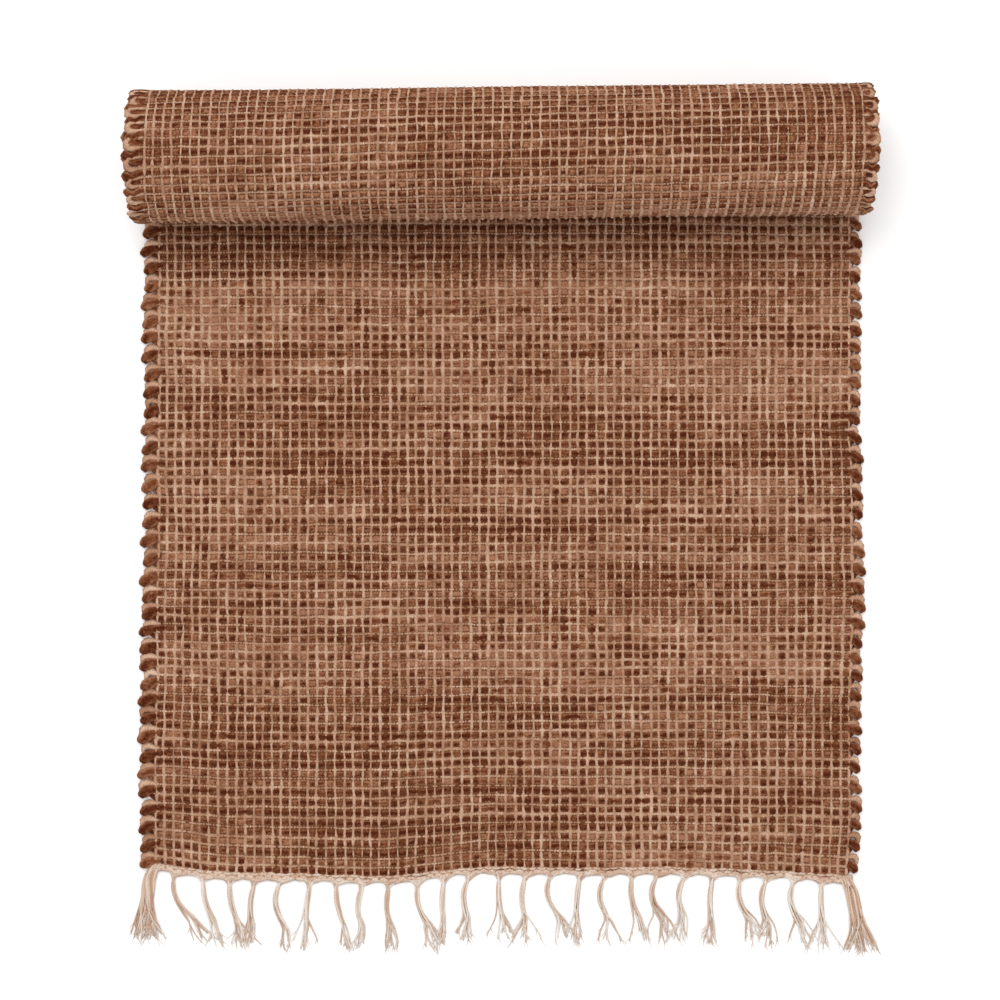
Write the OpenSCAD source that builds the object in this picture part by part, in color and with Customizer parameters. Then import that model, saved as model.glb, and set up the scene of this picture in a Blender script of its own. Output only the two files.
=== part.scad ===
// Woven table runner: one end lies flat with its fringe spread, the rest is rolled up on top.
// X runs across the width, +Y from the fringe to the roll, +Z up from the table.
// The origin is on the table, under the middle of the whole object.

/* [Cloth] */
// Width over both selvedges
runner_w = 350; // [300:5:450]
// Length of the woven cloth, heading to heading
cloth_len = 1334; // [1200:2:1334]
// Thickness of the weave
cloth_t = 2.8; // [2.4:0.1:2.8]
// Width of the looped selvedge down each side
selvedge_w = 6; // [4:0.5:10]
// Depth of the plain cotton heading at each end
heading_len = 3; // [2:0.5:6]

/* [Roll] */
// Cloth that lies flat, from its fringed end to the line under the roll
laid_len = 346; // [346:1:420]
// Outer radius of the winding, to the middle of the cloth
roll_r = 31.4; // [31.4:0.1:36]
// Clear gap between one turn and the next
turn_gap = 0.2; // [0.1:0.05:0.2]

/* [Fringe] */
// Number of tassels at each end
tassel_count = 27; // [9:2:27]
// Length of a tassel
tassel_len = 34; // [20:1:40]
// Width of a tassel where it leaves the heading
tassel_root_w = 4; // [3:0.5:5]
// Width of a tassel across its loose tips
tassel_tip_w = 8; // [5:0.5:10]
// Thickness of a tassel at its tips
tassel_tip_t = 1.6; // [1:0.1:2.4]
// How far the tips of the two corner tassels lean outwards
corner_lean = 4; // [0:0.5:6]

/* [Hidden] */
field_w = runner_w - 2 * selvedge_w;
turn_pitch = cloth_t + turn_gap;
// Distance from a side of the runner to the middle of its corner tassel
corner_inset = 3.5;
// Side-to-side sway of the tips of the other tassels
tip_sway = 2;
// Free space between the heading and the roots of the tassels, where the fringe folds
fold_gap = 0.3;
// Length over which a tassel keeps its full thickness
root_len = 5;
// Thickness of an inner tassel, pressed thin inside the roll
inner_tassel_t = 1.8;
// Angle between two corners of the winding
turn_step = 10;

// The roll stands on the laid cloth, and the cloth climbs its back first
back_reach = roll_r - turn_pitch / 4 + cloth_t / 2;
total_y = tassel_len + fold_gap + laid_len + back_reach;
hem_y = tassel_len + fold_gap - total_y / 2;
axis_y = hem_y + laid_len;
axis_z = roll_r + cloth_t / 2;

// Angle round the roll, from the line it stands on, at which a length of cloth is wound up
function turn_angle(wound) =
    360 * (roll_r - sqrt(roll_r * roll_r - wound * turn_pitch / PI)) / turn_pitch;

// A point beside the middle of the wound cloth: side is how far out from it
function coil_point(angle, side) =
    let (r = roll_r - turn_pitch * angle / 360 + side)
    [axis_y + r * sin(angle), axis_z - r * cos(angle)];

function steps(from, to) = concat([for (a = [from : turn_step : to - 1]) a], [to]);

function backwards(list) = [for (i = [len(list) - 1 : -1 : 0]) list[i]];

function tassel_x(i) = (runner_w / 2 - corner_inset) * (2 * (i - 1) / (tassel_count - 1) - 1);

function tassel_lean(i) =
    let (across = 2 * (i - 1) / (tassel_count - 1) - 1)
    corner_lean * pow(across, 7) + tip_sway * sin(1440 * across) * (1 - across * across);

function tassel_name(i) = str("tassel_", i < 10 ? "0" : "", i);

wound_len = cloth_len - laid_len;
wound_end = turn_angle(wound_len);
inner_heading_start = turn_angle(wound_len - heading_len);
inner_tassel_end = turn_angle(wound_len + tassel_len);

// Cloth between two lines across the flat part, from x_low and w wide
module laid_strip(x_low, w, y_low, y_high) {
    translate([x_low, y_low, 0])
        cube([w, y_high - y_low, cloth_t]);
}

// Cloth between two angles round the roll, from x_low and w wide
module wound_strip(x_low, w, angle_from, angle_to, t) {
    angles = steps(angle_from, angle_to);
    outside = [for (a = angles) coil_point(a, t / 2)];
    inside = [for (a = backwards(angles)) coil_point(a, -t / 2)];
    translate([x_low, 0, 0])
        rotate([90, 0, 90])
            linear_extrude(w)
                polygon(concat(outside, inside));
}

module woven_field_laid() {
    color("#8a5b43")
        laid_strip(-field_w / 2, field_w, hem_y + heading_len, axis_y);
}

module woven_field_rolled() {
    color("#7d4f38")
        wound_strip(-field_w / 2, field_w, 0, inner_heading_start, cloth_t);
}

module selvedge_laid(x_low) {
    color("#5c2e19")
        laid_strip(x_low, selvedge_w, hem_y + heading_len, axis_y);
}

module selvedge_rolled(x_low) {
    color("#5c2e19")
        wound_strip(x_low, selvedge_w, 0, inner_heading_start, cloth_t);
}

module selvedge_left_laid() {
    selvedge_laid(-runner_w / 2);
}

module selvedge_right_laid() {
    selvedge_laid(field_w / 2);
}

module selvedge_left_rolled() {
    selvedge_rolled(-runner_w / 2);
}

module selvedge_right_rolled() {
    selvedge_rolled(field_w / 2);
}

module heading_outer() {
    color("#d3c6bb")
        laid_strip(-runner_w / 2, runner_w, hem_y, hem_y + heading_len);
}

module heading_inner() {
    color("#d3c6bb")
        wound_strip(-runner_w / 2, runner_w, inner_heading_start, wound_end, cloth_t);
}

// One bundle of warp ends, flat on the table, thick at its root and thin at its tips
module tassel(i) {
    lean = tassel_lean(i);
    plan = [
        [-tassel_root_w / 2, 0],
        [lean - tassel_tip_w / 2, -tassel_len],
        [lean + tassel_tip_w / 2, -tassel_len],
        [tassel_root_w / 2, 0]
    ];
    side = [
        [0, 0],
        [0, cloth_t],
        [-root_len, cloth_t],
        [-tassel_len, tassel_tip_t],
        [-tassel_len, 0]
    ];
    color("#c8a892")
        translate([tassel_x(i), hem_y - fold_gap, 0])
            intersection() {
                linear_extrude(cloth_t)
                    polygon(plan);
                translate([-runner_w / 2, 0, 0])
                    rotate([90, 0, 90])
                        linear_extrude(runner_w)
                            polygon(side);
            }
}

// The tassels of the other end, wound inside the roll
module inner_tassels() {
    color("#c8a892")
        for (i = [1 : tassel_count])
            wound_strip(
                tassel_x(i) - tassel_root_w / 2, tassel_root_w,
                wound_end, inner_tassel_end, inner_tassel_t
            );
}

woven_field_laid();
woven_field_rolled();
selvedge_left_laid();
selvedge_left_rolled();
selvedge_right_laid();
selvedge_right_rolled();
heading_outer();
heading_inner();
inner_tassels();
for (i = [1 : tassel_count])
    tassel(i);
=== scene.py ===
import math

import bmesh
import bpy
import numpy as np
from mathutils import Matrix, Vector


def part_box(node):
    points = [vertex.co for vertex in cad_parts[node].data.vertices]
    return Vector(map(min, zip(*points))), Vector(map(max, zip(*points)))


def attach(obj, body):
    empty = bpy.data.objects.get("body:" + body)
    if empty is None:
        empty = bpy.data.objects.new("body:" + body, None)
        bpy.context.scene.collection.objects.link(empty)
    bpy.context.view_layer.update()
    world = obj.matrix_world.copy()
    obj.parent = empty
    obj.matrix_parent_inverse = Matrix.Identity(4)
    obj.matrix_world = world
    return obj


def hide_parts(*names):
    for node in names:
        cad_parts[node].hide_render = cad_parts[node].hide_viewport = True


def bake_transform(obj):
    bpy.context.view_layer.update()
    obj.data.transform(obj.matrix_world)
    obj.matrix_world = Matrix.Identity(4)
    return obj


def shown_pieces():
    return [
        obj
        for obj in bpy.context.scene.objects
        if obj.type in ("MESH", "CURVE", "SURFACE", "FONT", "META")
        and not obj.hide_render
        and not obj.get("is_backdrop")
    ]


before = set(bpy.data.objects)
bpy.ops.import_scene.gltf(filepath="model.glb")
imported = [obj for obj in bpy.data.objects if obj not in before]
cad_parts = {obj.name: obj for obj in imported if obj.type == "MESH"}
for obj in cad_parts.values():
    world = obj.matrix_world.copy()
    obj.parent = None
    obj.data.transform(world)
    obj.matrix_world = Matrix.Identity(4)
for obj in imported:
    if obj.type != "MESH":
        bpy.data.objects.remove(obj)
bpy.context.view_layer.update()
print("frame loaded")

# where the CAD puts things, in metres
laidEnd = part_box("woven_field_laid")[1]
drumLow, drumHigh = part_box("woven_field_rolled")
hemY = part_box("heading_outer")[0].y

clothThick = laidEnd.z
laidLength = laidEnd.y - hemY
backReach = drumHigh.y - laidEnd.y
frontReach = laidEnd.y - drumLow.y
turnPitch = 2 * (backReach - frontReach)
coilRadius = backReach + turnPitch / 4 - clothThick / 2
mm = 0.001

cloth = {
    "width": 0.35,             # over both selvedges
    "length": 1.334,           # woven length, both headings counted
    "warps": 155,
    "fieldWidth": 0.3376,      # first warp to last
    "rowPitch": 4.43 * mm,     # one thick pick to the next
    "headingPicks": 3,
    "headingPitch": 1.1 * mm,
    "headingStart": 0.2 * mm,
    "headingGap": 1.75 * mm,   # last heading pick to the first thick pick
    "rowBreath": 0.045,        # share by which rows close up and open along the cloth
    "rowBreathLength": 0.155,
    "rowBreathFrom": 0.025,
    "skew": math.tan(math.radians(0.65)),  # the roll lies slightly askew
    "loosening": 0.05,         # length past the laid cloth over which the roll's wander grows
    "outerTurn": 1.06,         # turns of the roll that are woven in full
    "endStrip": 8,             # warps woven at each end of the inner turns
    "tableGap": 0.05 * mm,     # nothing lies lower than this
}

yarns = {
    "thick": {"half": 1.42 * mm, "squash": 0.62, "rings": 1},
    "loop": {"half": 1.42 * mm, "squash": 0.62, "rings": 2},
    "thin": {"half": 0.97 * mm, "squash": 0.5, "rings": 0},
    "warp": {"half": 0.72 * mm, "squash": 0.58, "rings": 0},
    "heading": {"half": 0.86 * mm, "squash": 0.62, "rings": 0},
    "strand": {"half": 0.48 * mm, "squash": 0.9, "rings": 0},
}

weave = {
    "warpOverThick": 1.0 * mm,
    "warpShoulder": 0.72 * mm,
    "shoulderAt": 0.56,        # in picks, either side of a thick pick
    "warpOverThin": 0.36 * mm,
    "thickCrimp": 0.24 * mm,
    "thinCrimp": 0.42 * mm,
    "sunkDrop": 0.8 * mm,
    "hiddenDrop": 0.95 * mm,
    "shoulderDrop": 0.6,       # share of a hidden warp's drop that its shoulders take
    "sunkPlaces": ((1, 3.4), 44, 0.55, 5),     # noise spacing and seed, level, steepness
    "hiddenPlaces": ((1, 2.4), 45, 0.66, 6),
}

uneven = {  # size of each wander, warps and picks between its knots, and its seed
    "leftEdge": (0.4 * mm, (1, 9), 21),
    "rightEdge": (0.4 * mm, (1, 9), 22),
    "warpDrift": (0.4 * mm, (5, 34), 24),
    "warpWobble": (0.4 * mm, (1, 2.6), 25),
    "coilShift": (0.5 * mm, (1, 31), 26),
    "pickDrift": (0.6 * mm, (30, 9), 32),
    "pickWobble": (0.36 * mm, (3, 2), 33),
    "buckle": (0.12 * mm, (26, 22), 41),
    "ripple": (0.08 * mm, (3, 2), 42),
    "coilBuckle": (0.3 * mm, (40, 25), 43),
    "warpScatter": (0.3 * mm, 23),     # each warp's own place: size and seed only
    "pickScatter": (0.2 * mm, 31),
}

edges = {
    "leftDrawIn": [(0, 0.8 * mm), (0.05, 0.6 * mm), (0.11, 1.2 * mm), (0.19, 2.0 * mm), (0.35, 2.1 * mm)],
    "rightDrawIn": [(0, -1.4 * mm), (0.03, 0.6 * mm), (0.08, 0.0), (0.15, 1.6 * mm), (0.23, 0.2 * mm)],
    "drawInReach": 0.09,       # share of the width over which the warps crowd together
    "hemRise": [(-0.175, 3.8 * mm), (-0.128, -1.6 * mm), (-0.062, -3.0 * mm), (-0.005, 1.8 * mm),
                (0.07, 1.0 * mm), (0.13, -0.4 * mm), (0.175, -2.6 * mm)],
    "hemFade": 0.045,          # length over which the rows straighten out above the hem
}


# noise
def softNoise(shape, spacing, seed):  # smooth, about -1 to 1, with a knot every spacing steps
    knots = [int(size / step) + 3 for size, step in zip(shape, spacing)]
    table = np.random.default_rng(seed).uniform(-1, 1, knots)
    rows = np.arange(shape[0]) / spacing[0]
    columns = np.arange(shape[1]) / spacing[1]
    r = rows.astype(int)
    c = columns.astype(int)
    fr = (rows - r)[:, None]
    fc = columns - c
    fr = fr * fr * (3 - 2 * fr)
    fc = fc * fc * (3 - 2 * fc)
    low = table[np.ix_(r, c)] * (1 - fc) + table[np.ix_(r, c + 1)] * fc
    high = table[np.ix_(r + 1, c)] * (1 - fc) + table[np.ix_(r + 1, c + 1)] * fc
    return low + (high - low) * fr


def wander(shape, size, spacing, seed):
    return size * softNoise(shape, spacing, seed)


def scatter(shape, size, seed):
    return size * np.random.default_rng(seed).uniform(-1, 1, shape)


def rarePlaces(shape, spacing, seed, level, steepness):  # 0 nearly everywhere, up to 1 in a few places
    return np.clip((softNoise(shape, spacing, seed) - level) * steepness, 0, 1)


def throughPoints(x, points):  # a smooth line through a few (x, value) points
    xs = np.array([p[0] for p in points])
    values = np.array([p[1] for p in points])
    k = np.clip(np.searchsorted(xs, x) - 1, 0, len(xs) - 2)
    f = np.clip((x - xs[k]) / (xs[k + 1] - xs[k]), 0, 1)
    f = f * f * (3 - 2 * f)
    return values[k] + (values[k + 1] - values[k]) * f


def smoothStep(x, low, high):
    t = np.clip((x - low) / (high - low), 0, 1)
    return t * t * (3 - 2 * t)


# the lattice: where each warp meets each pick on the flat cloth
headings = cloth["headingPicks"]
firstThickAt = cloth["headingStart"] + (headings - 1) * cloth["headingPitch"] + cloth["headingGap"]
thickSpan = cloth["length"] - 2 * firstThickAt
thickCount = int(thickSpan / cloth["rowPitch"]) + 1
halfPicks = np.arange(2 * thickCount - 1) * cloth["rowPitch"] / 2
breathPhase = 2 * math.pi * (halfPicks - cloth["rowBreathFrom"]) / cloth["rowBreathLength"]
breathShift = cloth["rowBreath"] * cloth["rowBreathLength"] / (2 * math.pi)
halfPicks = halfPicks + breathShift * (np.sin(breathPhase) - np.sin(breathPhase[0]))
halfPicks *= thickSpan / halfPicks[-1]
headingAt = cloth["headingStart"] + np.arange(headings) * cloth["headingPitch"]
pickAt = np.concatenate([headingAt, firstThickAt + halfPicks, cloth["length"] - headingAt[::-1]])
pickCount = len(pickAt)
warpCount = cloth["warps"]
lastWarp = warpCount - 1
warpAt = np.linspace(-0.5, 0.5, warpCount) * cloth["fieldWidth"]
thickPicks = range(headings, pickCount - headings, 2)   # an even warp passes over each of these
thinPicks = range(headings + 1, pickCount - headings - 1, 2)

grid = (warpCount, pickCount)
everyPick = (1, pickCount)
leftShift = throughPoints(pickAt, edges["leftDrawIn"]) + wander(everyPick, *uneven["leftEdge"])[0]
rightShift = throughPoints(pickAt, edges["rightDrawIn"]) + wander(everyPick, *uneven["rightEdge"])[0]
share = (warpAt / cloth["fieldWidth"] + 0.5)[:, None]
across = warpAt[:, None] + leftShift * np.exp(-share / edges["drawInReach"])
across = across + rightShift * np.exp((share - 1) / edges["drawInReach"])
across = across + scatter((warpCount, 1), *uneven["warpScatter"]) + wander(grid, *uneven["warpDrift"])
across = across + wander(grid, *uneven["warpWobble"])
inRoll = np.clip((pickAt - laidLength) / cloth["loosening"], 0, 1)
across = across + inRoll * wander(everyPick, *uneven["coilShift"])

along = pickAt + scatter(everyPick, *uneven["pickScatter"]) + wander(grid, *uneven["pickDrift"])
along = along + wander(grid, *uneven["pickWobble"])
along = along + throughPoints(across, edges["hemRise"]) * np.exp(-pickAt / edges["hemFade"])
lift = wander(grid, *uneven["buckle"]) + wander(grid, *uneven["ripple"])
lift = lift + inRoll * wander(grid, *uneven["coilBuckle"])

sunk = rarePlaces(grid, *weave["sunkPlaces"])       # where the thick yarn swells over a thin pick
sunk[::2] = 0
hidden = rarePlaces(grid, *weave["hiddenPlaces"])   # where it hides a warp
hidden[1::2] = 0
print("lattice", grid)


def onCloth(i, j):  # across, along and lift between the crossings
    i, j = np.broadcast_arrays(np.asarray(i, float), np.asarray(j, float))
    i0 = np.clip(np.floor(i).astype(int), 0, warpCount - 2)
    j0 = np.clip(np.floor(j).astype(int), 0, pickCount - 2)
    fi = i - i0
    fj = j - j0
    found = []
    for g in (across, along, lift):
        low = g[i0, j0] * (1 - fi) + g[i0 + 1, j0] * fi
        high = g[i0, j0 + 1] * (1 - fi) + g[i0 + 1, j0 + 1] * fi
        found.append(low * (1 - fj) + high * fj)
    return np.stack(found, axis=-1)


def warpIsOver(i, j):  # 1 where the warp shows on the top face, -1 where the pick does
    return np.where((np.asarray(i) + np.asarray(j)) % 2 == 1, 1.0, -1.0)


def layAndRoll(points):  # flat cloth (across, along, height) to its place on the table and in the roll
    u, v, w = points[:, 0], points[:, 1], points[:, 2]
    flatTo = laidLength + cloth["skew"] * u
    wound = np.clip(v - flatTo, 0, None)
    r = np.sqrt(coilRadius ** 2 - wound * turnPitch / math.pi)
    turned = 2 * math.pi * (coilRadius - r) / turnPitch
    y = hemY + np.minimum(v, flatTo) + (r - w) * np.sin(turned)
    z = coilRadius + clothThick / 2 - (r - w) * np.cos(turned)
    return np.stack([u, y, np.maximum(z, cloth["tableGap"])], axis=-1)


# materials
def rgb(red, green, blue):  # display values from 0 to 255
    values = [c / 255 for c in (red, green, blue)]
    return tuple(c / 12.92 if c <= 0.04045 else ((c + 0.055) / 1.055) ** 2.4 for c in values) + (1,)


def addNode(tree, kind, at, **settings):
    n = tree.nodes.new(kind)
    n.location = at
    for name, value in settings.items():
        setattr(n, name, value)
    return n


def setOrLink(tree, socket, value):
    if isinstance(value, (int, float, tuple)):
        socket.default_value = value
    else:
        tree.links.new(value, socket)


def mathNode(tree, operation, a, b, at):
    n = addNode(tree, "ShaderNodeMath", at, operation=operation)
    setOrLink(tree, n.inputs[0], a)
    setOrLink(tree, n.inputs[1], b)
    return n.outputs[0]


def mixColor(tree, factor, a, b, at):
    n = addNode(tree, "ShaderNodeMix", at, data_type="RGBA", clamp_factor=True)
    setOrLink(tree, n.inputs["Factor"], factor)
    setOrLink(tree, n.inputs[6], a)
    setOrLink(tree, n.inputs[7], b)
    return n.outputs[2]


fibre = {
    "grainDetail": 3, "grainRoughness": 0.65,
    "streakRate": 260.0,       # changes in tone per metre of yarn
    "streakScale": 1.7, "streakDetail": 2,
    "plyPaintedShade": 0.35,           # how far the plies' relief shows in the colour: painted shade in their grooves, painted light on their crests
    "leastRough": 0.72, "roughSpread": 0.25,
    "shine": 0.08, "sheenRoughness": 0.6,
}


def makeYarnGroup():  # dyed fibre: three tones, mottling, plies that wind round the yarn, and a painted sheen on its flanks
    g = bpy.data.node_groups.new("dyedYarn", "ShaderNodeTree")
    for name, kind, value in (
        ("Dye", "NodeSocketFloat", 0.5),
        ("Dark", "NodeSocketColor", (0.1, 0.03, 0.01, 1)),
        ("Middle", "NodeSocketColor", (0.2, 0.1, 0.05, 1)),
        ("Pale", "NodeSocketColor", (0.4, 0.25, 0.15, 1)),
        ("Mottle", "NodeSocketFloat", 0.3),
        ("Grain Size", "NodeSocketFloat", 1100.0),
        ("Streaks", "NodeSocketFloat", 0.3),
        ("Ply Turns", "NodeSocketFloat", 300.0),
        ("Ply Depth", "NodeSocketFloat", 0.2),
        ("Painted Sheen", "NodeSocketFloat", 0.0),
    ):
        socket = g.interface.new_socket(name, in_out="INPUT", socket_type=kind)
        socket.default_value = value
    g.interface.new_socket("Color", in_out="OUTPUT", socket_type="NodeSocketColor")
    g.interface.new_socket("Roughness", in_out="OUTPUT", socket_type="NodeSocketFloat")
    g.interface.new_socket("Height", in_out="OUTPUT", socket_type="NodeSocketFloat")
    start = addNode(g, "NodeGroupInput", (-1200, 0)).outputs
    end = addNode(g, "NodeGroupOutput", (900, 0)).inputs
    place = addNode(g, "ShaderNodeTexCoord", (-1200, -300)).outputs["Object"]
    uv = addNode(g, "ShaderNodeUVMap", (-1200, -500), uv_map="UVMap").outputs["UV"]

    grain = addNode(g, "ShaderNodeTexNoise", (-950, -250))
    grain.inputs["Detail"].default_value = fibre["grainDetail"]
    grain.inputs["Roughness"].default_value = fibre["grainRoughness"]
    g.links.new(place, grain.inputs["Vector"])
    g.links.new(start["Grain Size"], grain.inputs["Scale"])
    centred = mathNode(g, "SUBTRACT", grain.outputs["Fac"], 0.5, (-780, -150))
    mottle = mathNode(g, "MULTIPLY", centred, start["Mottle"], (-620, -150))

    # two plies, winding along the yarn; their relief is also painted into the colour as shade and light
    split = addNode(g, "ShaderNodeSeparateXYZ", (-1000, -500))
    g.links.new(uv, split.inputs[0])
    metres, roundShare = split.outputs[0], split.outputs[1]
    turns = mathNode(g, "MULTIPLY", metres, start["Ply Turns"], (-820, -450))
    winding = mathNode(g, "ADD", turns, roundShare, (-660, -450))
    fullTurn = mathNode(g, "MULTIPLY", winding, 4 * math.pi, (-500, -450))
    ply = mathNode(g, "SINE", fullTurn, 0.0, (-340, -450))
    plyShade = mathNode(g, "MULTIPLY", ply, start["Ply Depth"], (-180, -450))
    plyPaintedShade = mathNode(g, "MULTIPLY", plyShade, fibre["plyPaintedShade"], (-20, -450))

    # streaks of fibre, drawn out along the yarn
    lengthways = mathNode(g, "MULTIPLY", metres, fibre["streakRate"], (-820, -700))
    roundAngle = mathNode(g, "MULTIPLY", roundShare, 2 * math.pi, (-980, -800))
    roundCos = mathNode(g, "COSINE", roundAngle, 0.0, (-820, -850))
    roundSin = mathNode(g, "SINE", roundAngle, 0.0, (-820, -1000))
    fibrePlace = addNode(g, "ShaderNodeCombineXYZ", (-640, -800))
    for link, socket in zip((lengthways, roundCos, roundSin), fibrePlace.inputs):
        g.links.new(link, socket)
    fibres = addNode(g, "ShaderNodeTexNoise", (-460, -800))
    fibres.inputs["Scale"].default_value = fibre["streakScale"]
    fibres.inputs["Detail"].default_value = fibre["streakDetail"]
    g.links.new(fibrePlace.outputs[0], fibres.inputs["Vector"])
    fibreTone = mathNode(g, "SUBTRACT", fibres.outputs["Fac"], 0.5, (-280, -800))
    streaks = mathNode(g, "MULTIPLY", fibreTone, start["Streaks"], (-120, -800))

    # the yarn's flanks are painted paler than its top: a painted sheen, where fuzz catches grazing light
    flank = mathNode(g, "POWER", mathNode(g, "ABSOLUTE", roundSin, 0.0, (-640, -1000)), 2.0, (-480, -1000))
    paintedSheen = mathNode(g, "MULTIPLY", flank, start["Painted Sheen"], (-320, -1000))

    tone = mathNode(g, "ADD", start["Dye"], mottle, (-460, 0))
    tone = mathNode(g, "ADD", tone, plyPaintedShade, (-300, 0))
    tone = mathNode(g, "ADD", tone, paintedSheen, (-260, 60))
    tone = mathNode(g, "ADD", tone, streaks, (-220, 0))
    low = mathNode(g, "MULTIPLY", tone, 2.0, (-140, 100))
    high = mathNode(g, "SUBTRACT", low, 1.0, (20, 0))
    darkSide = mixColor(g, low, start["Dark"], start["Middle"], (200, 150))
    g.links.new(mixColor(g, high, darkSide, start["Pale"], (400, 50)), end["Color"])
    rough = mathNode(g, "MULTIPLY_ADD", grain.outputs["Fac"], fibre["roughSpread"], (400, -250))
    rough.node.inputs[2].default_value = fibre["leastRough"]
    g.links.new(rough, end["Roughness"])
    height = mathNode(g, "ADD", grain.outputs["Fac"], plyShade, (200, -350))
    height = mathNode(g, "ADD", height, fibres.outputs["Fac"], (360, -400))
    g.links.new(height, end["Height"])
    return g


yarnGroup = makeYarnGroup()


def yarnMaterial(name, look):
    m = bpy.data.materials.new(name)
    m.use_nodes = True
    tree = m.node_tree
    shader = tree.nodes["Principled BSDF"]
    dyed = addNode(tree, "ShaderNodeGroup", (-400, 0), node_tree=yarnGroup)
    dye = addNode(tree, "ShaderNodeAttribute", (-650, 0), attribute_name="dye")
    tree.links.new(dye.outputs["Fac"], dyed.inputs["Dye"])
    for socket, value in look["yarn"].items():
        dyed.inputs[socket].default_value = value
    bump = addNode(tree, "ShaderNodeBump", (-200, -200))
    bump.inputs["Strength"].default_value = look["bump"]
    bump.inputs["Distance"].default_value = look["bumpDepth"]
    tree.links.new(dyed.outputs["Color"], shader.inputs["Base Color"])
    tree.links.new(dyed.outputs["Roughness"], shader.inputs["Roughness"])
    tree.links.new(dyed.outputs["Height"], bump.inputs["Height"])
    tree.links.new(bump.outputs["Normal"], shader.inputs["Normal"])
    shader.inputs["Specular IOR Level"].default_value = fibre["shine"]
    shader.inputs["Sheen Weight"].default_value = look["sheen"]
    shader.inputs["Sheen Roughness"].default_value = fibre["sheenRoughness"]
    shader.inputs["Sheen Tint"].default_value = look["sheenTint"]
    return m


thickLook = yarnMaterial("dyedThickYarn", {
    "yarn": {"Dark": rgb(74, 29, 10), "Middle": rgb(120, 70, 43), "Pale": rgb(162, 114, 86),
             "Mottle": 1.4, "Grain Size": 850.0, "Streaks": 1.0, "Ply Turns": 60.0, "Ply Depth": 0.25,
             # the flanks of the thick yarn are painted paler here: painted sheen
             "Painted Sheen": 0.7},
    "bump": 0.6, "bumpDepth": 0.5 * mm, "sheen": 0.02, "sheenTint": rgb(200, 150, 120),
})
cottonLook = yarnMaterial("undyedCotton", {
    "yarn": {"Dark": rgb(138, 94, 68), "Middle": rgb(179, 137, 110), "Pale": rgb(214, 181, 156),
             "Mottle": 0.7, "Grain Size": 1500.0, "Streaks": 0.5, "Ply Turns": 330.0, "Ply Depth": 0.3},
    "bump": 0.4, "bumpDepth": 0.2 * mm, "sheen": 0.03, "sheenTint": rgb(255, 240, 225),
})
fringeLook = yarnMaterial("fringeCotton", {
    "yarn": {"Dark": rgb(184, 144, 117), "Middle": rgb(211, 187, 169), "Pale": rgb(233, 225, 216),
             "Mottle": 0.6, "Grain Size": 1500.0, "Streaks": 0.5, "Ply Turns": 330.0, "Ply Depth": 0.3},
    "bump": 0.4, "bumpDepth": 0.2 * mm, "sheen": 0.05, "sheenTint": rgb(255, 244, 235),
})
coreLook = yarnMaterial("clothCore", {
    "yarn": {"Dark": rgb(84, 42, 22), "Middle": rgb(118, 74, 48), "Pale": rgb(148, 102, 74),
             "Mottle": 0.8, "Grain Size": 500.0, "Streaks": 0.0, "Ply Turns": 0.0, "Ply Depth": 0.0},
    "bump": 0.4, "bumpDepth": 0.4 * mm, "sheen": 0.05, "sheenTint": rgb(200, 150, 120),
})
print("materials", len(bpy.data.materials))


# yarns
strandShift = 0.137    # along the texture from one strand to the next, so that no two look alike


def yarnPiece(name, strands, yarn, material, bend=layAndRoll):
    # each strand is its points on the flat cloth, its thickness and its dye, point by point
    squash = yarn["squash"]
    line = bpy.data.curves.new(name, "CURVE")
    line.dimensions = "3D"
    line.twist_mode = "Z_UP"
    line.bevel_depth = yarn["half"]
    line.bevel_resolution = yarn["rings"]
    for points, thickness, _ in strands:
        s = line.splines.new("POLY")
        s.points.add(len(points) - 1)
        co = np.ones((len(points), 4))
        co[:, :2] = points[:, :2]
        co[:, 2] = points[:, 2] / squash
        s.points.foreach_set("co", co.ravel())
        s.points.foreach_set("radius", thickness)
        s.use_smooth = True
    spun = bpy.data.objects.new(name + "Line", line)
    bpy.context.scene.collection.objects.link(spun)
    bpy.context.view_layer.update()
    mesh = bpy.data.meshes.new_from_object(spun.evaluated_get(bpy.context.evaluated_depsgraph_get()))
    bpy.data.objects.remove(spun)
    bpy.data.curves.remove(line)
    mesh.name = name

    sides = 4 + 2 * yarn["rings"]
    flat = np.zeros(len(mesh.vertices) * 3)
    mesh.vertices.foreach_get("co", flat)
    flat = flat.reshape(-1, 3)
    flat[:, 2] *= squash
    mesh.vertices.foreach_set("co", bend(flat).ravel())
    vertexCounts = [len(p) * sides for p, _, _ in strands]
    dye = np.repeat(np.concatenate([d for _, _, d in strands]), sides)
    lengths = [np.linalg.norm(np.diff(p, axis=0), axis=1).sum() for p, _, _ in strands]
    lengths = np.repeat(lengths, vertexCounts)
    strandNumber = np.repeat(np.arange(len(strands)), vertexCounts)
    mesh.attributes.new("dye", "FLOAT", "POINT").data.foreach_set("value", dye.astype(np.float32))
    corners = np.zeros(len(mesh.loops), np.int32)
    mesh.loops.foreach_get("vertex_index", corners)
    uvs = mesh.uv_layers[0].data
    unwrapped = np.zeros(len(mesh.loops) * 2)
    uvs.foreach_get("uv", unwrapped)
    unwrapped[0::2] *= lengths[corners]    # metres along the yarn, so that plies keep their size
    unwrapped[0::2] += strandNumber[corners] * strandShift
    unwrapped[1::2] -= 0.5 * yarn["rings"] / sides     # the seam runs along the top
    uvs.foreach_set("uv", unwrapped)

    bm = bmesh.new()
    bm.from_mesh(mesh)
    bmesh.ops.holes_fill(bm, edges=[e for e in bm.edges if e.is_boundary], sides=0)
    bm.to_mesh(mesh)
    bm.free()
    mesh.materials.append(material)
    piece = bpy.data.objects.new(name, mesh)
    bpy.context.scene.collection.objects.link(piece)
    return piece


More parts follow.
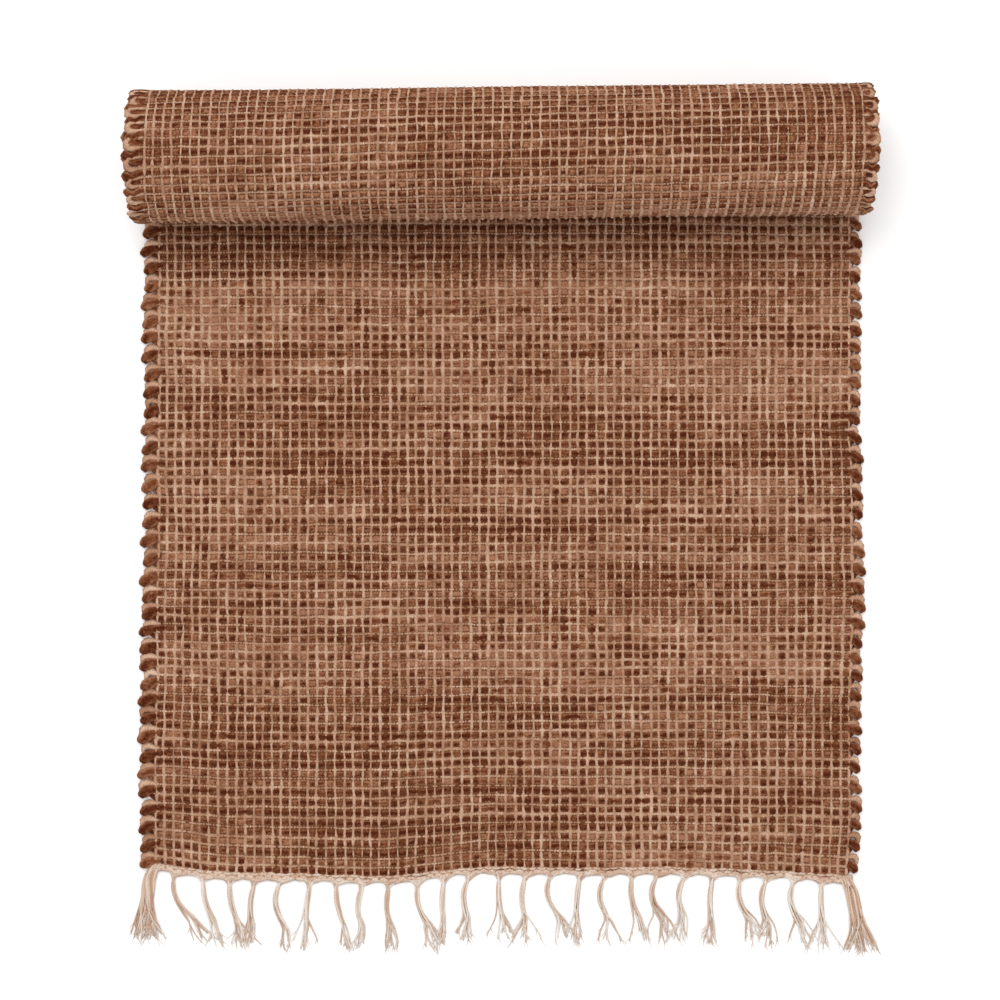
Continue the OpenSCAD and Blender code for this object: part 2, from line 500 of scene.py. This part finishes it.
thickDye = {  # the noises are size, half warps and picks between knots, and seed
    "base": 0.25, "paleness": 0.46,
    "row": (0.36, 52),
    "run": (0.4, (1, 70), 53),
    "patch": (0.54, (5, 44), 55),
    "cell": (0.27, (1, 3.5), 54),
    "speck": (0.38, (1, 2), 59),
    "underWarp": 0.3, "besideWarp": 0.1,       # soft edges: paler where it dives under a warp
}
thickBody = {
    "lumps": (0.1, (1, 5), 56),
    "waves": (0.06, (1, 40), 57),
    "slubSeed": 58, "slubsPerPick": 1.3, "slubReach": (2.0, 6.0), "slubSize": (0.4, 1.2),
    "slubGrowth": 0.32, "slubDark": 0.45,
    "swellGrowth": 0.33, "swellDark": 0.25, "swellSides": 0.6,
    "underWarp": 0.92,         # share of its thickness that it keeps there
}
dyeLotsAndPaintedLight = [  # how much paler the brown is, along the cloth from its fringed hem: dye lots, with painted shade on the laid cloth in front of the roll (0.304 to 0.335), and painted light and shade on the roll itself, darker over its top and back (0.395 to 0.4518) and paler on its front, which the key light reaches less (0.4786 to 0.51)
    (0.0, 0.1), (0.018, 0.08), (0.03, -0.1), (0.045, -0.26), (0.07, -0.2), (0.081, -0.26), (0.091, -0.2),
    (0.095, 0.18), (0.12, 0.16), (0.14, 0.04), (0.16, 0.06), (0.168, -0.12), (0.19, -0.02), (0.204, -0.1),
    (0.22, 0.04), (0.247, 0.44), (0.262, 0.22), (0.28, 0.36), (0.294, 0.14), (0.304, -0.36), (0.335, -0.44),
    (0.395, -0.26), (0.418, -0.66), (0.4425, -0.5), (0.4518, -0.4), (0.461, -0.14), (0.4715, 0.02),
    (0.4786, 0.1), (0.491, 0.4), (0.51, 0.2), (0.56, 0.0), (1.334, 0.0),
]
halfSteps = 2 * warpCount - 1
dyeGrid = (pickCount, halfSteps)
paleness = throughPoints(pickAt, dyeLotsAndPaintedLight)[:, None] + np.zeros(dyeGrid)
paleness = paleness + scatter((pickCount, 1), *thickDye["row"])
paleness = paleness + wander(dyeGrid, *thickDye["run"])
paleness = paleness + wander(dyeGrid, *thickDye["patch"])
# the thick yarn's tone point by point: dye, with the painted shade before the roll and the painted light and
# shade on the roll from the dye lots
pickDyeAndPaintedLight = thickDye["base"] + thickDye["paleness"] * paleness
pickDyeAndPaintedLight = pickDyeAndPaintedLight + wander(dyeGrid, *thickDye["cell"])
pickDyeAndPaintedLight = pickDyeAndPaintedLight + wander(dyeGrid, *thickDye["speck"])
pickThickness = 1 + wander(dyeGrid, *thickBody["lumps"]) + wander(dyeGrid, *thickBody["waves"])
slubs = np.random.default_rng(thickBody["slubSeed"])
for j in thickPicks:  # slubs: short fat places in the soft yarn, darker than the rest
    for _ in range(slubs.poisson(thickBody["slubsPerPick"])):
        middle = slubs.uniform(0, halfSteps)
        reach = slubs.uniform(*thickBody["slubReach"])
        bell = np.exp(-((np.arange(halfSteps) - middle) / reach) ** 2 * 2)
        size = slubs.uniform(*thickBody["slubSize"])
        pickThickness[j] += thickBody["slubGrowth"] * size * bell
        pickDyeAndPaintedLight[j] -= thickBody["slubDark"] * size * bell
swell = np.zeros(dyeGrid)
swell[:, ::2] = np.maximum(np.roll(sunk, 1, axis=1), np.roll(sunk, -1, axis=1)).T
swell[:, 1::2] = thickBody["swellSides"] * (swell[:, :-1:2] + swell[:, 2::2])
pickThickness = pickThickness + thickBody["swellGrowth"] * swell
pickDyeAndPaintedLight = pickDyeAndPaintedLight - thickBody["swellDark"] * swell
pickDyeAndPaintedLight[:, 0::4] += thickDye["underWarp"]
pickDyeAndPaintedLight[:, 1::2] += thickDye["besideWarp"]
pickDyeAndPaintedLight = np.clip(pickDyeAndPaintedLight, 0, 1)

cotton = {  # noises again, in warps and picks
    "dye": 0.54, "thickness": 1.06,
    "warpTone": (0.12, (1, 9), 61),
    "pickTone": (0.12, (9, 1), 62),
    "fleck": (0.22, (1, 1.4), 63),
    "pickWeight": (0.2, (3, 1), 64),
    "warpWeight": (0.2, (1, 7), 65),
    "lumps": (0.12, (1, 2), 66),
    "fullness": 0.55, "fullnessLimit": 0.7,    # the cotton lies fuller where the brown is pale
    "warpScatter": (0.9, 1.1), "warpSeed": 700,
}
cottonDye = cotton["dye"] + wander(grid, *cotton["warpTone"]) + wander(grid, *cotton["pickTone"])
cottonDye = cottonDye + wander(grid, *cotton["fleck"])
cottonThickness = cotton["thickness"] + wander(grid, *cotton["pickWeight"])
cottonThickness = cottonThickness + wander(grid, *cotton["warpWeight"])
cottonThickness = cottonThickness + wander(grid, *cotton["lumps"])
cottonThickness = cottonThickness + cotton["fullness"] * np.clip(
    paleness[:, ::2].T, -cotton["fullnessLimit"], cotton["fullnessLimit"])


def thickStrand(j, first, last):
    i = np.arange(2 * first, 2 * last + 1) / 2
    points = onCloth(i, j)
    crossing = i == np.round(i)
    points[:, 2] -= np.where(crossing, warpIsOver(np.round(i).astype(int), j), 0) * weave["thickCrimp"]
    steps = (i * 2).astype(int)
    pinched = crossing & (np.round(i) % 2 == 0)
    thickness = pickThickness[j, steps] * np.where(pinched, thickBody["underWarp"], 1.0)
    return points, thickness, pickDyeAndPaintedLight[j, steps]


def thinStrand(j, first, last, crimp=weave["thinCrimp"]):
    i = np.arange(first, last + 1)
    points = onCloth(i, j)
    points[:, 2] -= warpIsOver(i, j) * crimp
    return points, cottonThickness[i, j], cottonDye[i, j]


def warpStrand(i, first, last):
    j = []
    height = []
    for pick in range(first, last + 1):
        over = 1 if (i + pick) % 2 == 1 else -1
        under = weave["hiddenDrop"] * hidden[i, pick] if over > 0 else 0
        if headings <= pick < pickCount - headings and (pick - headings) % 2 == 0:
            shoulder = over * weave["warpShoulder"] - weave["shoulderDrop"] * under
            j += [pick - weave["shoulderAt"], pick, pick + weave["shoulderAt"]]
            height += [shoulder, over * weave["warpOverThick"] - under, shoulder]
        else:
            j.append(pick)
            height.append(over * weave["warpOverThin"] - weave["sunkDrop"] * sunk[i, pick])
    j = np.array(j)
    points = onCloth(i, j)
    points[:, 2] += height
    nearest = np.clip(np.round(j).astype(int), 0, pickCount - 1)
    fine = np.random.default_rng(cotton["warpSeed"] + i).uniform(*cotton["warpScatter"], len(j))
    return points, cottonThickness[i, nearest] * fine, cottonDye[i, nearest]


# where the full weave stops: just past one turn, under the roll
woundTo = cloth["outerTurn"] * 2 * math.pi
fullTo = laidLength + woundTo * coilRadius - turnPitch * woundTo ** 2 / (4 * math.pi)
lastFull = int(np.searchsorted(pickAt, fullTo))
lastLaid = int(np.searchsorted(pickAt, laidLength))
strip = cloth["endStrip"]
endStrips = ((0, strip), (lastWarp - strip, lastWarp))
print("full weave to pick", lastFull, "of", pickCount)

clothPieces = {}


def addCloth(prefix, strands, parts, yarnName, material):  # long runs are split to keep each mesh small
    cuts = [len(strands) * k // parts for k in range(parts + 1)]
    for k in range(parts):
        name = prefix + (str(k + 1) if parts > 1 else "")
        clothPieces[name] = yarnPiece(name, strands[cuts[k]:cuts[k + 1]], yarns[yarnName], material)


thickLaid = [thickStrand(j, 0, lastWarp) for j in thickPicks if j <= lastLaid]
thickTurn = [thickStrand(j, 0, lastWarp) for j in thickPicks if lastLaid < j <= lastFull]
thickEnds = [thickStrand(j, a, b) for j in thickPicks if j > lastFull for a, b in endStrips]
addCloth("thickWeftLaid", thickLaid, 2, "thick", thickLook)
addCloth("thickWeftTurn", thickTurn, 1, "thick", thickLook)
addCloth("thickWeftEnds", thickEnds, 1, "thick", thickLook)
print("thick wefts", len(thickLaid) + len(thickTurn))

thinLaid = [thinStrand(j, 0, lastWarp) for j in thinPicks if j <= lastLaid]
thinTurn = [thinStrand(j, 0, lastWarp) for j in thinPicks if lastLaid < j <= lastFull]
thinEnds = [thinStrand(j, a, b) for j in thinPicks if j > lastFull for a, b in endStrips]
addCloth("thinWeftLaid", thinLaid, 1, "thin", cottonLook)
addCloth("thinWeftTurn", thinTurn, 1, "thin", cottonLook)
addCloth("thinWeftEnds", thinEnds, 1, "thin", cottonLook)
print("thin wefts", len(thinLaid) + len(thinTurn))

endWarps = [*range(strip), *range(warpCount - strip, warpCount)]
addCloth("warpsLaid", [warpStrand(i, 0, lastLaid) for i in range(warpCount)], 3, "warp", cottonLook)
addCloth("warpsTurn", [warpStrand(i, lastLaid, lastFull) for i in range(warpCount)], 2, "warp", cottonLook)
addCloth("warpsEnds", [warpStrand(i, lastFull, pickCount - 1) for i in endWarps], 1, "warp", cottonLook)
print("warps", warpCount)

# the core of the cloth: the sheet that the yarns lie in
core = {"columns": 30, "rowStep": 2.6 * mm, "thick": 0.4 * mm, "inset": 0.6 * mm, "endGap": 1.2 * mm,
        "dye": 0.4}
coreWidth = cloth["fieldWidth"] - 2 * core["inset"]
coreLength = cloth["length"] - 2 * core["endGap"]
bm = bmesh.new()
bmesh.ops.create_grid(bm, x_segments=core["columns"], y_segments=int(coreLength / core["rowStep"]), size=0.5)
bmesh.ops.solidify(bm, geom=bm.faces[:], thickness=core["thick"])
bmesh.ops.recalc_face_normals(bm, faces=bm.faces)
sheetMesh = bpy.data.meshes.new("clothCore")
bm.to_mesh(sheetMesh)
bm.free()
flat = np.zeros(len(sheetMesh.vertices) * 3)
sheetMesh.vertices.foreach_get("co", flat)
flat = flat.reshape(-1, 3)
flat[:, 0] *= coreWidth
flat[:, 1] = core["endGap"] + (flat[:, 1] + 0.5) * coreLength
rowsHere = np.interp(flat[:, 1], pickAt, np.arange(pickCount))
flat[:, 1] += throughPoints(flat[:, 0], edges["hemRise"]) * np.exp(-flat[:, 1] / edges["hemFade"])
shareHere = flat[:, 0] / cloth["fieldWidth"] + 0.5
drawnLeft = np.interp(rowsHere, np.arange(pickCount), leftShift)
drawnRight = np.interp(rowsHere, np.arange(pickCount), rightShift)
flat[:, 0] += drawnLeft * np.exp(-shareHere / edges["drawInReach"])
flat[:, 0] += drawnRight * np.exp((shareHere - 1) / edges["drawInReach"])
flat[:, 2] -= flat[:, 2].mean()
sheetMesh.vertices.foreach_set("co", layAndRoll(flat).ravel())
sheetMesh.polygons.foreach_set("use_smooth", [True] * len(sheetMesh.polygons))
coreDye = sheetMesh.attributes.new("dye", "FLOAT", "POINT")
coreDye.data.foreach_set("value", [core["dye"]] * len(sheetMesh.vertices))
sheetMesh.uv_layers.new(name="UVMap")
sheetMesh.materials.append(coreLook)
clothCore = bpy.data.objects.new("clothCore", sheetMesh)
bpy.context.scene.collection.objects.link(clothCore)
print("core", len(sheetMesh.polygons))

# selvedges: thick loops, with thin loops round them
thickLoop = [  # outwards in mm, share of the way to the next thick pick, height in mm, thickness
    (-2.4, 1.00, 0.05, 1.00), (-0.2, 1.00, 0.25, 1.10), (1.3, 0.95, 0.45, 1.35), (2.8, 0.83, 0.55, 1.62),
    (4.3, 0.66, 0.50, 1.80), (5.4, 0.50, 0.35, 1.80), (6.0, 0.32, 0.00, 1.50), (5.8, 0.20, -0.50, 1.05),
    (4.7, 0.34, -0.90, 0.85), (3.2, 0.44, -0.95, 0.85), (1.9, 0.24, -0.75, 0.95), (0.7, 0.03, -0.45, 1.05),
    (-0.6, 0.00, -0.30, 1.00), (-2.4, 0.00, -0.20, 1.00),
]
thinLoop = [
    (-1.6, 1.00, 0.10, 1.00), (0.2, 1.02, 0.30, 1.15), (1.8, 1.08, 0.45, 1.45), (3.3, 1.16, 0.35, 1.85),
    (4.7, 1.08, 0.20, 1.95), (5.7, 0.84, -0.10, 1.75), (5.9, 0.46, -0.65, 1.20), (4.8, 0.10, -0.95, 1.00),
    (2.6, 0.02, -0.80, 1.00), (0.6, 0.00, -0.50, 1.00), (-1.6, 0.00, -0.20, 1.00),
]
selvedge = {
    "looseness": {-1: 1.12, 1: 0.74},          # the weaver pulled the right edge tighter
    "reach": (0.82, 1.12), "slant": (-0.12, 0.12), "fat": (0.9, 1.12),
    "fatBase": 0.6, "fatByLooseness": 0.4,
    "tone": (-0.12, 0.1), "toneFleck": 0.1,
    "dyeShare": 0.5, "dyeShift": -0.1,         # the loops are darker and more alike than the picks
    "seed": 9000,
}


def edgeLoops(side, first, last, shape, picks, phase, dyes):
    looseness = selvedge["looseness"][side]
    edgeWarp = 0 if side < 0 else lastWarp
    outs = np.array([row[0] for row in shape])
    fatness = np.array([row[3] for row in shape])
    strands = []
    for n, j in enumerate(range(picks.start - 2, picks.stop, 2), -1):
        if n % 2 != phase or not first <= j < last or j + 2 >= pickCount:
            continue
        draw = np.random.default_rng(selvedge["seed"] + 10 * j + (side > 0))
        reach = draw.uniform(*selvedge["reach"])
        slant = draw.uniform(*selvedge["slant"])
        fat = draw.uniform(*selvedge["fat"]) * (selvedge["fatBase"] + selvedge["fatByLooseness"] * looseness)
        low = onCloth(edgeWarp, j)
        high = onCloth(edgeWarp, j + 2)
        points = []
        for out, onward, height, _ in shape:
            place = low + (high - low) * onward
            outwards = out * reach * looseness if out > 0 else out
            place[0] += side * outwards * mm
            place[1] += slant * max(out, 0) * mm
            place[2] = low[2] + height * mm
            points.append(place)
        tone = dyes(j, edgeWarp) + draw.uniform(*selvedge["tone"])
        tone = tone + selvedge["toneFleck"] * draw.uniform(-1, 1, len(shape))
        strands.append((np.array(points), fatness * np.where(outs > 0, fat, 1), np.clip(tone, 0, 1)))
    return strands


def loopDye(j, i):
    return selvedge["dyeShare"] * pickDyeAndPaintedLight[j, 2 * i] + selvedge["dyeShift"]


def loopCottonDye(j, i):
    return cottonDye[i, j]


for side, sideName in ((-1, "left"), (1, "right")):
    phase = 0 if side > 0 else 1
    for place, first, last in (("laid", 0, lastLaid), ("rolled", lastLaid, pickCount)):
        brown = edgeLoops(side, first, last, thickLoop, thickPicks, phase, loopDye)
        name = "selvedgeLoops_%s_%s" % (sideName, place)
        clothPieces[name] = yarnPiece(name, brown, yarns["loop"], thickLook)
        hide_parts("selvedge_%s_%s" % (sideName, place))
        pale = edgeLoops(side, first, last, thinLoop, thinPicks, phase, loopCottonDye)
        name = "selvedgeCotton_%s_%s" % (sideName, place)
        clothPieces[name] = yarnPiece(name, pale, yarns["thin"], cottonLook)
print("selvedges")

# headings
heading = {"crimp": 0.3 * mm, "overhang": 3.2 * mm, "scallop": 1.6 * mm, "scallopWidth": 2.6 * mm,
           "pale": -0.12}
fringe = {
    "tassels": 27, "firstAt": -0.1714, "lastAt": 0.1690, "lastCornerAt": 0.1696,
    "scatter": (0.8 * mm, 71),
}
tassels = fringe["tassels"]
tasselAt = np.linspace(fringe["firstAt"], fringe["lastAt"], tassels)
tasselAt = tasselAt + scatter(tassels, *fringe["scatter"])
tasselAt[[0, -1]] = fringe["firstAt"], fringe["lastCornerAt"]
nearestTassel = np.abs(warpAt[:, None] - tasselAt).argmin(axis=1)
groups = [np.flatnonzero(nearestTassel == k) for k in range(tassels)]


def headingStrand(j):
    points, thickness, dye = thinStrand(j, 0, lastWarp, heading["crimp"])
    if j < headings:  # the picks are drawn down at each tassel
        offTassel = np.abs(points[:, :1] - tasselAt).min(axis=1)
        drawnDown = np.exp(-(offTassel / heading["scallopWidth"]) ** 2) * (headings - j) / headings
        points[:, 1] -= heading["scallop"] * drawnDown
    overhang = np.array([heading["overhang"], 0, 0])
    points = np.vstack([points[:1] - overhang, points, points[-1:] + overhang])
    return points, np.pad(thickness, 1, mode="edge"), np.pad(dye + heading["pale"], 1, mode="edge")


for name, node, picks in (
    ("headingOuter", "heading_outer", range(headings)),
    ("headingInner", "heading_inner", range(pickCount - headings, pickCount)),
):
    strands = [headingStrand(j) for j in picks]
    clothPieces[name] = yarnPiece(name, strands, yarns["heading"], fringeLook)
    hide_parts(node)
print("headings")

# tassels
tassel = {
    "seed": 400, "extraStrands": (1, 3),       # more strands than the warps that end there
    "length": 34 * mm, "lengthScatter": (0.86, 1.04),
    "gather": 7.5 * mm, "gatherScatter": (0.85, 1.15),
    "gatherSteps": 6, "looseSteps": 11,
    "leans": [-4, 12, 9, 6, -4, 3, -5, 6, -3, 0, 7, -1, -3, 1,      # in mm, from left to right
              -2, 6, -4, 1, 4, 3, -2, -2, 7, -1, 2, 1, 8],
    "firstLean": -2.3 * mm, "firstLeanScatter": (0.3, 2.0), "firstLeanEnds": 0.7,
    "curve": 1.5, "twist": 3, "bundle": 0.85 * mm, "splay": 2.4 * mm, "curl": 0.9 * mm,
    "looseFrom": (0.25, 0.5), "strayShare": 0.16, "stray": 6 * mm,
    "rest": 0.45 * mm, "roundness": 0.7, "tallest": 1.2 * mm, "flattening": 0.8,
    "thickness": (0.75, 1.15), "thinning": 0.35, "tipThickness": 0.5,
    "paleShare": 0.5, "paleDye": 0.85, "darkDye": 0.42, "dyeScatter": 0.15, "dyeWave": 0.1, "dyeWaves": 9,
    "blendLength": 6 * mm,     # how far down a tassel the bend of the fold is spread
}
cornerTassel = {
    "bundle": 2.8 * mm, "rise": 2.6 * mm, "lift": 0.5 * mm, "strands": 34, "splay": 0.6,
    "inward": 8 * mm,          # every third strand turns back in
    "darker": 0.32,
}
fray = {
    "hairs": 3, "aim": 0.22, "reach": (0.09, 0.18), "spread": 0.15, "curve": 1.5, "lowest": 0.2 * mm,
    "thickness": np.array([0.45, 0.4, 0.3, 0.15]), "dye": 0.75,
}


def frayedEnd(main, length, draw):  # hairs that leave a strand near its tip
    hairs = []
    steps = len(fray["thickness"])
    onward = np.linspace(0, 1, steps)
    for _ in range(fray["hairs"]):
        at = draw.integers(len(main) - 4, len(main) - 1)
        aim = draw.normal(0, fray["aim"])
        direction = (main[at + 1] - main[at]) / np.linalg.norm(main[at + 1] - main[at])
        hair = main[at] + onward[:, None] * length * draw.uniform(*fray["reach"]) * direction
        hair[:, 0] += aim * length * fray["spread"] * onward ** fray["curve"]
        hair[:, 2] = np.maximum(hair[:, 2], fray["lowest"])
        hairs.append((hair, fray["thickness"], np.full(steps, fray["dye"])))
    return hairs


def tasselStrands(number, group, middle):
    draw = np.random.default_rng(tassel["seed"] + number)
    corner = number in (0, tassels - 1)
    outer = -1 if number == 0 else 1
    starts = onCloth(group, np.zeros(len(group)))
    base = starts[:, 1].mean()
    if corner:
        starts[:, 1] += cornerTassel["rise"]
    lean = tassel["leans"][number] * mm
    firstLean = 0.0 if corner else tassel["firstLean"] * draw.uniform(*tassel["firstLeanScatter"])
    twist = draw.uniform(-tassel["twist"], tassel["twist"])
    size = cornerTassel["bundle"] if corner else tassel["bundle"]
    splay = tassel["splay"] * (cornerTassel["splay"] if corner else 1)
    arch = np.linspace(0, math.pi / 2, tassel["gatherSteps"])
    loosePart = np.linspace(0, 1, tassel["looseSteps"] + 1)[1:]
    gathered = np.concatenate([np.sin(arch), np.ones(tassel["looseSteps"])])
    count = cornerTassel["strands"] if corner else len(group) + draw.integers(*tassel["extraStrands"])
    strands = []
    for k in range(count):
        start = starts[k % len(group)]
        length = tassel["length"] * draw.uniform(*tassel["lengthScatter"])
        gather = tassel["gather"] * draw.uniform(*tassel["gatherScatter"])
        down = np.concatenate([gather * (1 - np.cos(arch)), gather + loosePart * (length - gather)])
        t = down / length
        turn = 2 * math.pi * k / count + twist * t
        loose = smoothStep(t, draw.uniform(*tassel["looseFrom"]), 1.0)
        tip = lean + draw.normal(0, splay)
        if corner and k % 3 == 0:
            tip = tip - outer * cornerTassel["inward"]
        if draw.random() < tassel["strayShare"] and not corner:
            tip = tip + draw.choice([-1, 1]) * tassel["stray"]     # a strand that has come away
        curl = draw.normal(0, tassel["curl"])
        sway = firstLean * np.sin(math.pi * np.clip(t / tassel["firstLeanEnds"], 0, 1))
        sway = sway + lean * t ** tassel["curve"] * (1 - loose) + tip * t ** tassel["curve"] * loose
        sway = sway + curl * np.sin(2 * math.pi * t) * loose
        x = start[0] + (middle - start[0]) * gathered + sway + size * np.cos(turn) * gathered
        y = start[1] + (base - start[1]) * gathered - down
        high = start[2] + clothThick / 2 + (cornerTassel["lift"] if corner else 0)
        tall = min(size, tassel["tallest"]) * tassel["roundness"]
        rested = tassel["rest"] + tall * (1 + np.sin(turn)) * (1 - tassel["flattening"] * loose)
        settled = smoothStep(down, 0, gather)
        z = high * (1 - settled) + rested * settled
        thickness = draw.uniform(*tassel["thickness"]) * (1 - tassel["thinning"] * t ** 3)
        thickness[-1] *= tassel["tipThickness"]
        dye = tassel["paleDye"] if draw.random() < tassel["paleShare"] else tassel["darkDye"]
        dye = dye + draw.uniform(-tassel["dyeScatter"], tassel["dyeScatter"])
        dye = dye + tassel["dyeWave"] * np.sin(tassel["dyeWaves"] * t + k) - cornerTassel["darker"] * corner
        main = np.stack([x, y, z], axis=-1)
        strands.append((main, thickness, np.clip(dye, 0, 1)))
        strands += frayedEnd(main, length, draw)
    return strands


def onTable(points):  # the fringe is placed from the hem, already at its height
    lowest = np.maximum(points[:, 2], cloth["tableGap"])
    return np.stack([points[:, 0], hemY + points[:, 1], lowest], axis=-1)


for number, group in enumerate(groups):
    piece = yarnPiece("tassel%02d" % (number + 1), tasselStrands(number, group, tasselAt[number]),
                      yarns["strand"], fringeLook, bend=onTable)
    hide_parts("tassel_%02d" % (number + 1))
    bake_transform(piece)

innerTassel = {"seed": 600, "steps": 14, "gatheredBy": 0.2, "wander": 1.2 * mm, "length": (0.88, 0.98),
               "depth": 0.6 * mm, "dye": 0.5}
innerStrands = []
for number, group in enumerate(groups):
    draw = np.random.default_rng(innerTassel["seed"] + number)
    starts = onCloth(group, np.full(len(group), pickCount - 1))
    t = np.linspace(0, 1, innerTassel["steps"])[:, None]
    gathered = smoothStep(t, 0, innerTassel["gatheredBy"])
    for start in starts:
        x = start[0] * (1 - gathered) + tasselAt[number] * gathered
        x = x + draw.normal(0, innerTassel["wander"]) * t
        v = start[1] + t * tassel["length"] * draw.uniform(*innerTassel["length"])
        deep = draw.uniform(-innerTassel["depth"], innerTassel["depth"])
        w = start[2] * (1 - gathered) + deep * gathered
        innerStrands.append((np.hstack([x, v, w]), np.ones(len(t)), np.full(len(t), innerTassel["dye"])))
clothPieces["innerTassels"] = yarnPiece(
    "innerTassels", innerStrands, yarns["strand"], fringeLook)
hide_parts("inner_tassels")
print("tassels", tassels)

# what moves with what
for piece in [*clothPieces.values(), clothCore]:
    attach(piece, "cloth")
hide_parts("woven_field_laid", "woven_field_rolled")

# floor, light and camera
stage = {
    "floorSize": 30.0, "floor": (0.95, 0.95, 0.95, 1), "floorRoughness": 0.9, "floorShine": 0.1,
    "glow": 0.04, "sky": 0.87,
    "keyPower": 16.5, "keySize": 1.0, "keyAt": (-0.24, 0.8, 1.85),
    "cameraHeight": 1.13, "cameraAt": (-0.0009, 0.0107), "seenWidth": 0.487, "sensor": 36,
}
white = (1, 1, 1, 1)
bm = bmesh.new()
bmesh.ops.create_grid(bm, x_segments=1, y_segments=1, size=stage["floorSize"] / 2)
floorMesh = bpy.data.meshes.new("floor")
bm.to_mesh(floorMesh)
bm.free()
floorLook = bpy.data.materials.new("floorPaper")
floorLook.use_nodes = True
paper = floorLook.node_tree.nodes["Principled BSDF"].inputs
paper["Base Color"].default_value = stage["floor"]
paper["Roughness"].default_value = stage["floorRoughness"]
paper["Specular IOR Level"].default_value = stage["floorShine"]
paper["Emission Color"].default_value = white
paper["Emission Strength"].default_value = stage["glow"]
floorMesh.materials.append(floorLook)
floor = bpy.data.objects.new("floor", floorMesh)
bpy.context.scene.collection.objects.link(floor)
floor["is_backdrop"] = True

world = bpy.data.worlds.new("studio")
world.use_nodes = True
world.node_tree.nodes["Background"].inputs["Color"].default_value = white
world.node_tree.nodes["Background"].inputs["Strength"].default_value = stage["sky"]
bpy.context.scene.world = world

keyData = bpy.data.lights.new("keyLight", "AREA")
keyData.energy = stage["keyPower"]
keyData.size = stage["keySize"]
key = bpy.data.objects.new("keyLight", keyData)
key.location = stage["keyAt"]
key.rotation_euler = (-key.location).to_track_quat("-Z", "Y").to_euler()
bpy.context.scene.collection.objects.link(key)

cameraData = bpy.data.cameras.new("camera")
cameraData.sensor_width = stage["sensor"]
cameraData.lens = cameraData.sensor_width * stage["cameraHeight"] / stage["seenWidth"]
camera = bpy.data.objects.new("camera", cameraData)
camera.location = (*stage["cameraAt"], stage["cameraHeight"])
bpy.context.scene.collection.objects.link(camera)
bpy.context.scene.camera = camera
bpy.context.scene.view_settings.view_transform = "Standard"

triangles = {o.name: len(o.data.loops) - 2 * len(o.data.polygons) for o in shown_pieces()}
print("triangles", sum(triangles.values()), "most in one piece", max(triangles.values()))
